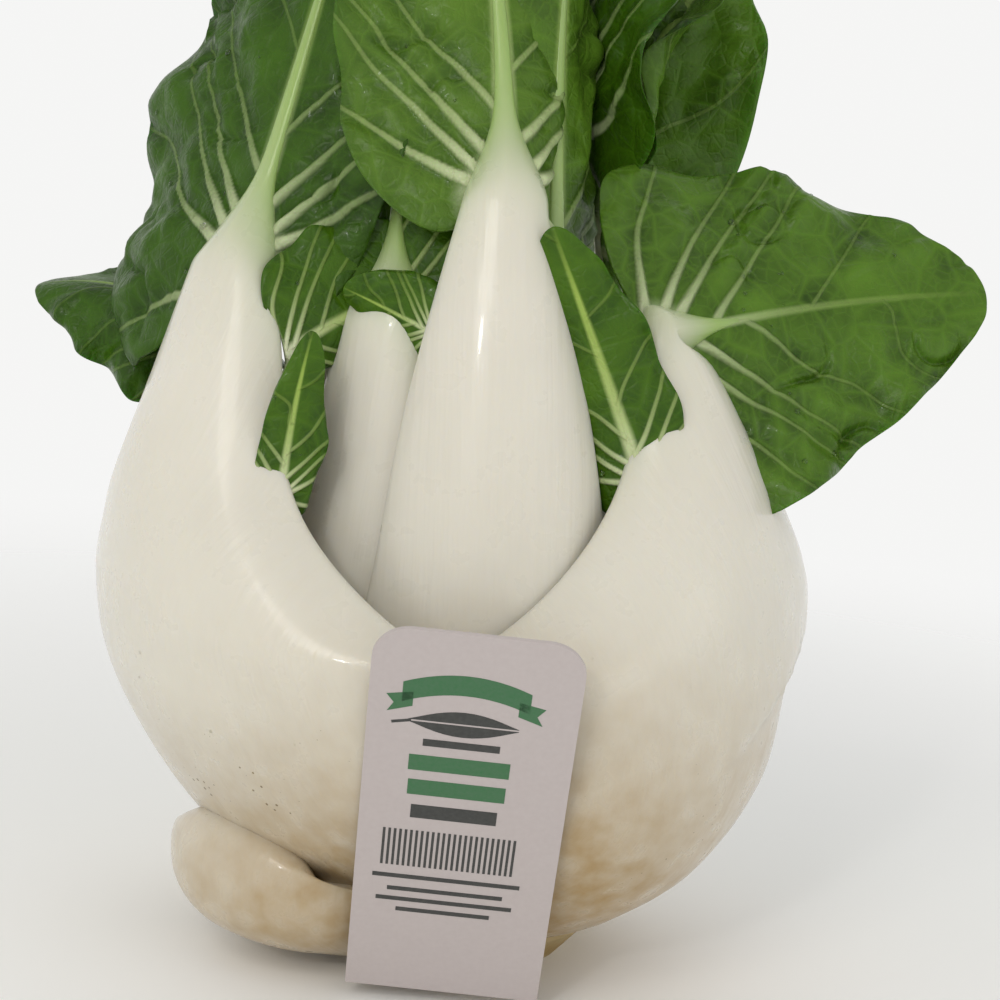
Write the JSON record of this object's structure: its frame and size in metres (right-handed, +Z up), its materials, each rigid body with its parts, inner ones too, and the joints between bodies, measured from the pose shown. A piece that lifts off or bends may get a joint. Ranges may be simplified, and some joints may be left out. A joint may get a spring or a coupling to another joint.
{
  "type": "bok choy",
  "caption": "Squat head of bok choy: white stalks that swell into a bulb, dark green blades that spread above, and a blank card tag on the front.",
  "frame": {"origin": "centre of the flat cut face of the butt, on which the head stands", "axes": "+Z up from butt to leaves, -Y out of the front with the tag"},
  "size_m": [0.2033, 0.1484, 0.2636],
  "materials": {
    "blade_bright": "bright young leaf blade, wet and glossy",
    "blade_dark": "dark green leaf blade, wet and glossy",
    "blade_middle": "green leaf blade, wet and glossy",
    "blade_pale": "pale green leaf blade with white veins, satin",
    "butt": "cut plant tissue, drying to tan",
    "stalk": "white juicy stalk flesh, waxy and wet",
    "tag": "coated white card, matte"
  },
  "bodies": {
    "root": {"blade_back": "blade_dark", "blade_back_left": "blade_dark", "blade_back_right": "blade_dark", "blade_centre": "blade_pale", "blade_centre_lobe": "blade_bright", "blade_heart_back": "blade_bright", "blade_heart_front": "blade_bright", "blade_inner_back": "blade_middle", "blade_inner_back_left": "blade_bright", "blade_inner_left": "blade_middle", "blade_inner_right": "blade_dark", "blade_left": "blade_middle", "blade_left_lobe": "blade_bright", "blade_left_wing": "blade_bright", "blade_right": "blade_dark", "blade_right_fold": "blade_middle", "butt": "butt", "stalk_back": "stalk", "stalk_back_left": "stalk", "stalk_back_right": "stalk", "stalk_centre": "stalk", "stalk_heart_back": "stalk", "stalk_heart_front": "stalk", "stalk_inner_back": "stalk", "stalk_inner_back_left": "stalk", "stalk_inner_left": "stalk", "stalk_inner_right": "stalk", "stalk_left": "stalk", "stalk_right": "stalk", "stalk_stub": "stalk", "tag": "tag"}
  },
  "joints": []
}
